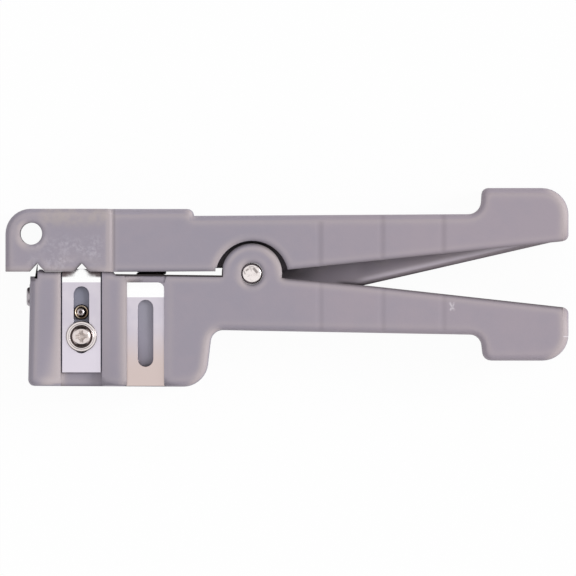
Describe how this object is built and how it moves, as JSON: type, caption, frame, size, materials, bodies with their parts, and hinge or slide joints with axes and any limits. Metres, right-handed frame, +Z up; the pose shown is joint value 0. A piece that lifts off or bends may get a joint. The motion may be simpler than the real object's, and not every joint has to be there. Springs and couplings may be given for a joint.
{
  "type": "coaxial cable stripper",
  "caption": "Squeeze-type cable ringer and slitter with V-notched jaw, adjustable ring and slitting blades, stored spare blade and spring-closed jaws.",
  "frame": {"origin": "centre of the bounding box on the surface that the tool lies on", "axes": "+X along the tool from the jaws to the handle ends, +Y across it from the blade block to the notched jaw, +Z up out of the face that carries the blades"},
  "size_m": [0.1268, 0.0448, 0.0192],
  "materials": {
    "grey_plastic": "moulded, satin, faint mottling",
    "plated_steel": "bright plated",
    "spring_steel": "black, oiled",
    "blade_steel": "ground and polished",
    "brass": "turned"
  },
  "bodies": {
    "lower": {"lower_body": "grey_plastic", "pivot_pin": "plated_steel", "lower_spring_pin": "plated_steel", "jaw_spring": "spring_steel", "ring_clamp_insert": "brass", "ring_guide_bush": "brass", "ring_guide_screw": "plated_steel", "slit_clamp_insert": "brass", "slit_guide_bush": "brass", "slit_guide_screw": "plated_steel"},
    "upper": {"upper_body": "grey_plastic", "upper_spring_pin": "plated_steel"},
    "ring_blade": {"ring_blade": "blade_steel"},
    "slitting_blade": {"slitting_blade": "blade_steel"},
    "spare_blade": {"spare_blade": "blade_steel"},
    "ring_washer": {"ring_cup_washer": "plated_steel"},
    "ring_screw": {"ring_clamp_screw": "plated_steel"},
    "slit_washer": {"slit_cup_washer": "plated_steel"},
    "slit_screw": {"slit_clamp_screw": "plated_steel"}
  },
  "joints": [
    {"name": "jaw_pivot", "type": "hinge", "parent": "lower", "child": "upper", "pos_m": [-0.0079, 0.00312, 0.0091], "axis": [0, 0, -1], "range_deg": [0, 11.3], "stiffness_Nm_per_rad": 1, "springref_deg": -11.46, "deforming": ["jaw_spring"]},
    {"name": "ring_blade_slide", "type": "slide", "parent": "lower", "child": "ring_blade", "axis": [0, 1, 0], "range_m": [-0.004, 0.002]},
    {"name": "slitting_blade_slide", "type": "slide", "parent": "lower", "child": "slitting_blade", "axis": [0, 1, 0], "range_m": [-0.0016, 0]},
    {"name": "spare_blade_slide", "type": "slide", "parent": "lower", "child": "spare_blade", "axis": [0, -1, 0], "range_m": [0, 0.022]},
    {"name": "ring_washer_lift", "type": "slide", "parent": "lower", "child": "ring_washer", "axis": [0, 0, 1], "range_m": [0, 0.001]},
    {"name": "ring_screw_turn", "type": "hinge", "parent": "ring_washer", "child": "ring_screw", "pos_m": [-0.0463, -0.01104, 0.0182], "axis": [0, 0, 1], "range_deg": [0, 720]},
    {"name": "slit_washer_lift", "type": "slide", "parent": "lower", "child": "slit_washer", "axis": [-1, 0, 0], "range_m": [0, 0.001]},
    {"name": "slit_screw_turn", "type": "hinge", "parent": "slit_washer", "child": "slit_screw", "pos_m": [-0.0578, -0.00209, 0.0091], "axis": [-1, 0, 0], "range_deg": [0, 720]}
  ],
  "couplings": [
    {"joint": "ring_screw_turn", "follows": "ring_washer_lift", "rad_per_m": 12566},
    {"joint": "slit_screw_turn", "follows": "slit_washer_lift", "rad_per_m": 12566}
  ]
}
